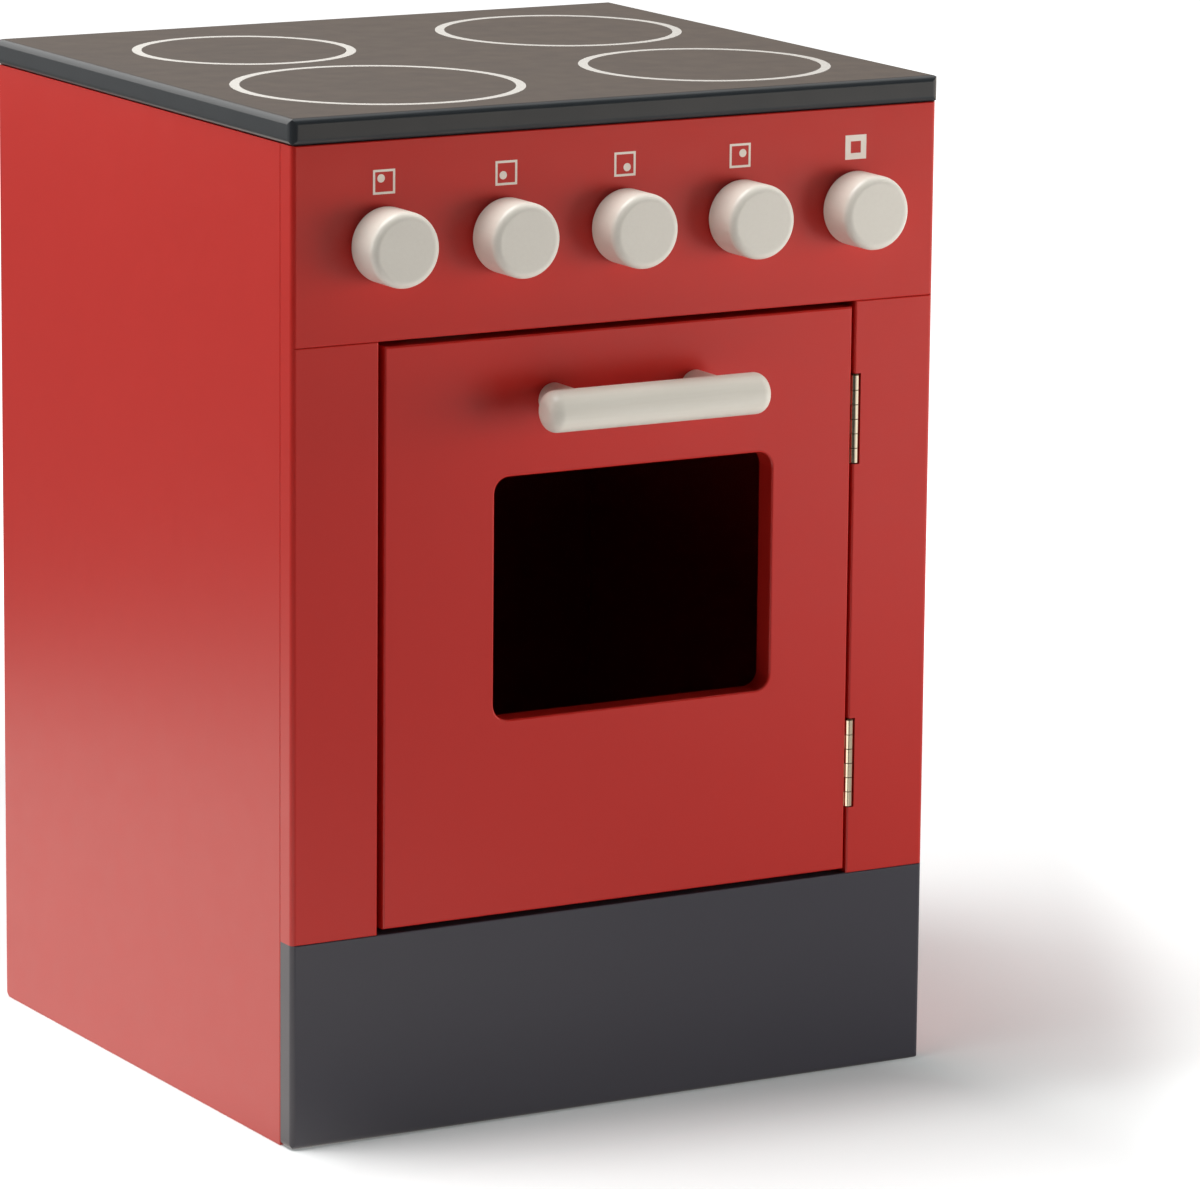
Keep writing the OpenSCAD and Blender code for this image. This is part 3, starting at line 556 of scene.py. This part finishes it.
# %% [markdown]
# ## How the paper glows near the toy, as painted shadow
# The grey glow near the toy paints the shape of the shadow. It is weakest at the foot of
# the plinth, which paints a deep contact shadow there. It grows to the front, to the right,
# and most of all along the slant in which it paints the cast shadow fading out soon.

# %% The grey glow that paints the shadow
FOOT = 0.55
GLOW_FROM, GLOW_TO = 0.6, 1.1
SLANT = (0.87, -0.5, 0.0)


def shadow_painting_glow(tree, place, away):
    """How strongly the paper glows near the toy, as painted shadow: least at its foot, most to
    the right.
    """
    sideways = along(tree, place, RIGHT)
    forward = along(tree, place, FORWARD)
    slanting = along(tree, place, SLANT)
    # Less glow at the plinth's foot paints a deeper contact shadow there.
    foot = number(tree, "MAXIMUM", fade(tree, forward, 0.15, 0.22, FOOT, 1.0),
                  fade(tree, number(tree, "ABSOLUTE", sideways, 0.0), 0.14, 0.19, FOOT, 1.0))
    glow = number(tree, "MULTIPLY", foot, fade(tree, away, GLOW_FROM, GLOW_TO, 1.0, 0.0))
    for distance, start, end, extra in ((sideways, 0.16, 0.22, 0.42),
                                        (forward, 0.19, 0.26, 0.45),
                                        (slanting, 0.315, 0.385, 1.0)):
        glow = number(tree, "ADD", glow, fade(tree, distance, start, end, 0.0, extra))
    return glow


print("grey glow up to", GLOW_FROM, "m, white from", GLOW_TO, "m")

# %% [markdown]
# ## Laying the sheet
# The sheet is 30 m wide so that its edge never shows, and it lies 0.3 mm low so that it
# doesn't share a plane with the toy's feet. Its material sums the paper and three glows:
# grey near the toy, which paints the shadow's shape, white far off, and the painted
# reflection, which only glossy rays see. The glows are no lamps, so sampling them as
# lamps would only add noise, and it is switched off.

# %% Lay the floor
SHEET_HALF = 15
SHEET_Z_MM = -0.3


def floor_paper():
    """White paper, with what the camera and the reflections add to it."""
    material, tree, place, output = new_material("white paper floor")
    away = add(tree, "ShaderNodeVectorMath", [(0, place)], operation="LENGTH").outputs["Value"]
    rays = add(tree, "ShaderNodeLightPath").outputs
    glossy = rays["Is Glossy Ray"]
    seen = number(tree, "MAXIMUM", rays["Is Camera Ray"], rays["Is Transmission Ray"])
    # Glossy rays see the paper as black, so they see only the painted reflection.
    shade = add(tree, "ShaderNodeMix", [("Factor", glossy), ("A", PAPER), ("B", BLACK)],
                data_type="RGBA").outputs["Result"]
    total = add(tree, "ShaderNodeBsdfDiffuse", [("Color", shade)])
    far = fade(tree, away, GLOW_FROM, GLOW_TO, 0.0, 1.0)
    for color, who, strength in ((linear("#7A7E7D"), seen, shadow_painting_glow(tree, place, away)),
                                 (WHITE, seen, far),
                                 (linear("#FFF9F1"), glossy,
                                  painted_floor_reflection(tree, place, away))):
        glow = add(tree, "ShaderNodeEmission", [
            ("Color", color), ("Strength", number(tree, "MULTIPLY", who, strength))])
        total = add(tree, "ShaderNodeAddShader", [(0, total.outputs[0]), (1, glow.outputs[0])])
    tree.links.new(total.outputs[0], output.inputs["Surface"])
    material.cycles.emission_sampling = "NONE"
    return material


sheet = bmesh.new()
bmesh.ops.create_grid(sheet, x_segments=1, y_segments=1, size=SHEET_HALF)
bmesh.ops.translate(sheet, vec=(0, 0, SHEET_Z_MM * MM), verts=sheet.verts)
new_object("floor", sheet, floor_paper())
print("floor:", 2 * SHEET_HALF, "m square,", -SHEET_Z_MM, "mm below the toy")

# %% [markdown]
# ## Cards that only reflections see
# A photographer shapes the shine on a satin surface with white and black cards around
# the subject. Here they are parts of one round screen, 1.1 m from the toy. They are
# hidden from the camera and from diffuse light, so they change the shine and nothing
# else. A bright one at the back left gives the side panel its soft gradient. Warm grey
# at the back right lies on the worktop. Black in front keeps the red of the door deep,
# and a bright strip below it lights the worktop's front edge.

# %% Set up the cards
CARD_RADIUS = 1.1
CARD_STEPS = 24
STRIP, SPLIT, TOP = 0.27, 0.45, 2.4
NEUTRAL, SAND, PEACH, CREAM = "#FFFCF8", "#FFE2CB", "#FFECDB", "#FFEEDD"


def card(name, start, end, low, high, level, color=NEUTRAL):
    """Part of a round screen, from one azimuth to another; 0 is the front, 90 the right."""
    material, tree, _, output = new_material(name)
    glow = add(tree, "ShaderNodeEmission", [("Color", linear(color)), ("Strength", level)])
    tree.links.new(glow.outputs[0], output.inputs["Surface"])
    material.cycles.emission_sampling = "NONE"
    shape = bmesh.new()
    angle = math.radians(start)
    foot = (CARD_RADIUS * math.sin(angle), -CARD_RADIUS * math.cos(angle))
    ends = [shape.verts.new((*foot, low)), shape.verts.new((*foot, high))]
    bmesh.ops.spin(shape, geom=ends + [shape.edges.new(ends)], cent=(0, 0, 0),
                   axis=(0, 0, 1), angle=math.radians(end - start), steps=CARD_STEPS)
    screen = new_object(name, shape, material)
    screen.visible_camera = screen.visible_diffuse = False
    screen.visible_shadow = screen.visible_transmission = False
    return screen


cards = [
    card("low card behind left", -180, -90, 0, SPLIT, 0.25),
    card("low card in front", 0, 26, 0, STRIP, 0.5),
    card("upper strip in front", 0, 26, STRIP, SPLIT, 1.4, CREAM),
    card("low card front right", 26, 120, 0, STRIP, 1.1),
    card("upper strip front right", 26, 120, STRIP, SPLIT, 1.45, CREAM),
    card("low card behind right", 120, 180, 0, SPLIT, 0.3, PEACH),
    card("low dark card at the camera", -90, 0, 0, SPLIT, 0.05),
    card("bright card behind left", -180, -90, SPLIT, TOP, 1.6),
    card("dark card in front", -90, 60, SPLIT, TOP, 0.0),
    card("bright card right", 60, 120, SPLIT, TOP, 1.5),
    card("grey card behind right", 120, 180, SPLIT, TOP, 0.475, SAND),
]
print("cards:", len(cards), "at", CARD_RADIUS, "m")

# %% [markdown]
# ## A white world that hardly lights
# The background is white to the camera, and also in metal, so the world shows a strength
# of 1 to camera, glossy and transmitted rays. To diffuse light it is nearly black, or it
# would fill the shadows and pale the red. A mix by ray type holds both.

# %% White to the eye, dim to the paint
DIM_STRENGTH = 0.02

world = bpy.data.worlds.new("studio")
bpy.context.scene.world = world
world.use_nodes = True
air = world.node_tree
air.nodes.clear()
rays = add(air, "ShaderNodeLightPath").outputs
seen = number(air, "MAXIMUM", rays["Is Camera Ray"], rays["Is Glossy Ray"])
seen = number(air, "MAXIMUM", seen, rays["Is Transmission Ray"])
dim = add(air, "ShaderNodeBackground", [("Color", WHITE), ("Strength", DIM_STRENGTH)])
white = add(air, "ShaderNodeBackground", [("Color", WHITE), ("Strength", 1.0)])
shown = add(air, "ShaderNodeMixShader", [(0, seen), (1, dim.outputs[0]), (2, white.outputs[0])])
add(air, "ShaderNodeOutputWorld", [("Surface", shown.outputs[0])])
print("world:", len(air.nodes), "nodes")

# %% [markdown]
# ## Three soft boxes
# The shadow falls to the right and a little forward, and its edge widens quickly: that is
# a large soft box high up, behind and to the left. A weaker one at the left lifts the side
# panel. The knobs are bright on their right rims and the door is not in shade, so a
# third, low and wide, fills the front from the right. Reflections skip that one, or it
# would lie as a pale patch on the satin. Each is placed by azimuth, height angle and
# distance, because that is how a photographer would walk it around.

# %% Lights
TARGET = Vector((0, -0.05, 0.25))


def soft_box(name, azimuth, height, distance, size, watts, shines=True):
    """A rectangular lamp that looks at the toy from that azimuth and height angle."""
    around, up = math.radians(azimuth), math.radians(height)
    way = Vector((math.sin(around) * math.cos(up), -math.cos(around) * math.cos(up),
                  math.sin(up)))
    light = bpy.data.lights.new(name, "AREA")
    light.shape = "RECTANGLE"
    light.size, light.size_y = size
    light.energy = watts
    lamp = bpy.data.objects.new(name, light)
    bpy.context.scene.collection.objects.link(lamp)
    lamp.location = TARGET + way * distance
    lamp.rotation_euler = way.to_track_quat("Z", "Y").to_euler()
    lamp.visible_camera = False
    lamp.visible_glossy = shines
    return lamp


lamps = [
    soft_box("overhead key", -118, 70, 1.9, (1.2, 1.2), 47),
    soft_box("left fill", -107, 30, 1.9, (1.2, 1.2), 10),
    soft_box("broad front fill", 53, 3, 1.5, (1.5, 0.6), 15, shines=False),
]
print("soft boxes:", ", ".join(lamp.name for lamp in lamps))

# %% [markdown]
# ## The camera
# A long lens from 3.6 m away keeps the toy's edges nearly parallel. The three turns are,
# read from the last to the first: a hair of roll, the tilt down onto the worktop, and
# the walk of 30 degrees to the left, from where the side panel shows.
# The view transform is Standard, so that a paint colour arrives as it was written.

# %% Place the camera
LENS_MM = 208.617
SENSOR_MM = 36
WALK, TILT, ROLL = -29.8133, 11.8778, 0.55215
STAND = (-1.650496, -3.005316, 0.951457)
CLIP_END = 100

camera_data = bpy.data.cameras.new("camera")
camera_data.lens = LENS_MM
camera_data.sensor_width = SENSOR_MM
camera_data.clip_end = CLIP_END
camera = bpy.data.objects.new("camera", camera_data)
bpy.context.scene.collection.objects.link(camera)
turn = (Matrix.Rotation(math.radians(WALK), 4, "Z")
        @ Matrix.Rotation(math.radians(90 - TILT), 4, "X")
        @ Matrix.Rotation(math.radians(ROLL), 4, "Z"))
camera.matrix_world = Matrix.Translation(STAND) @ turn
bpy.context.scene.camera = camera
bpy.context.scene.view_settings.view_transform = "Standard"
print(f"lens {camera_data.lens:.0f} mm, {Vector(STAND).length:.2f} m from the toy")
